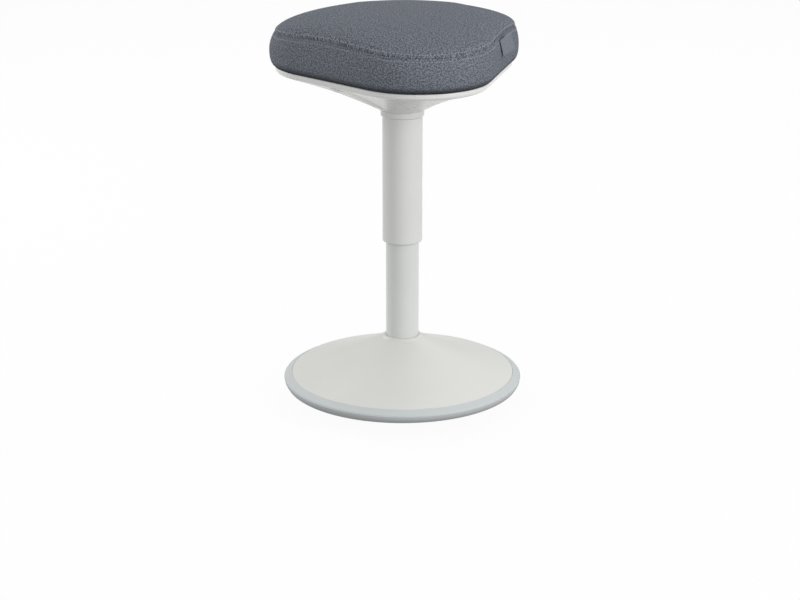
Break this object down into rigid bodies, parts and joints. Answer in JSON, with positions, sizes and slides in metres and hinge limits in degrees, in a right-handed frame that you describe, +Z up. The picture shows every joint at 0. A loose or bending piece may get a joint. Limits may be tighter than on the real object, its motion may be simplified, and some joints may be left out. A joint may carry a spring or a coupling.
{
  "type": "wobble stool",
  "caption": "Height-adjustable wobble stool: padded rounded-triangle seat on a gas column with a telescopic sleeve, over a weighted trumpet base with a rounded rocking sole.",
  "frame": {"origin": "middle of the flat contact patch of the sole, on the floor, on the column's axis", "axes": "+Z up along the column; the seat's front corner points 15 degrees to the +X side of -Y; the release lever lies along the diagonal between -X and -Y"},
  "size_m": [0.3809, 0.3809, 0.6028],
  "materials": {
    "cover_plastic": "fine matt texture, light grey",
    "shell_plastic": "moulded, dark grey",
    "rim_rubber": "soft grip rubber, blue-grey",
    "sole_rubber": "non-slip rubber, dark grey",
    "column_paint": "powder coat, light grey",
    "sleeve_plastic": "satin, light grey",
    "pan_plastic": "satin, light grey",
    "lever_plastic": "satin, light grey",
    "seat_fabric": "melange plain weave, dark blue-grey",
    "label_fabric": "woven ribbon, bare, dark blue-grey",
    "foam": "moulded foam",
    "plywood": "birch plywood",
    "black_steel": "black coat",
    "zinc_steel": "zinc plated",
    "rod_chrome": "hard chrome",
    "weight_iron": "rough cast",
    "natural_nylon": "natural nylon",
    "black_rubber": "moulded rubber"
  },
  "bodies": {
    "base": {"sole_pad": "sole_rubber", "base_shell": "shell_plastic", "rim_ring": "rim_rubber", "base_cover": "cover_plastic", "base_screws": "zinc_steel", "weight_plate": "weight_iron", "column_socket": "black_steel", "socket_bolts": "zinc_steel", "stand_tube": "column_paint", "guide_bush": "natural_nylon", "bearing_lower_washer": "zinc_steel"},
    "rod": {"piston_rod": "rod_chrome", "rod_clip": "zinc_steel", "retaining_washer": "zinc_steel", "bearing_balls": "rod_chrome", "ball_cage": "natural_nylon", "bearing_upper_washer": "zinc_steel", "rubber_damper": "black_rubber", "piston": "natural_nylon", "piston_seal": "black_rubber"},
    "seat": {"gas_cylinder": "black_steel", "cylinder_gland": "natural_nylon", "column_sleeve": "sleeve_plastic", "seat_pan": "pan_plastic", "pan_screws": "zinc_steel", "seat_board": "plywood", "t_nuts": "zinc_steel", "plate_screws": "zinc_steel", "seat_plate": "black_steel", "taper_hub": "black_steel", "lever_bracket": "black_steel", "lever_pin": "zinc_steel", "seat_foam": "foam", "cover_side": "seat_fabric", "cover_top": "seat_fabric", "label_tag": "label_fabric"},
    "lever": {"release_lever": "lever_plastic"},
    "valve": {"valve_pin": "zinc_steel"}
  },
  "joints": [
    {"name": "seat_swivel", "type": "hinge", "parent": "base", "child": "rod", "pos_m": [0, 0, 0.03], "axis": [0, 0, 1], "continuous": true},
    {"name": "seat_lift", "type": "slide", "parent": "rod", "child": "seat", "axis": [0, 0, 1], "range_m": [-0.06, 0.14]},
    {"name": "lever_lift", "type": "hinge", "parent": "seat", "child": "lever", "pos_m": [-0.02546, -0.02546, 0.502], "axis": [-0.7071, 0.7071, 0], "range_deg": [0, 3.5], "stiffness_Nm_per_rad": 0.6, "springref_deg": -2.86},
    {"name": "valve_press", "type": "slide", "parent": "seat", "child": "valve", "axis": [0, 0, -1], "range_m": [0, 0.0025]}
  ],
  "couplings": [
    {"joint": "valve_press", "follows": "lever_lift", "m_per_rad": 0.0385}
  ]
}
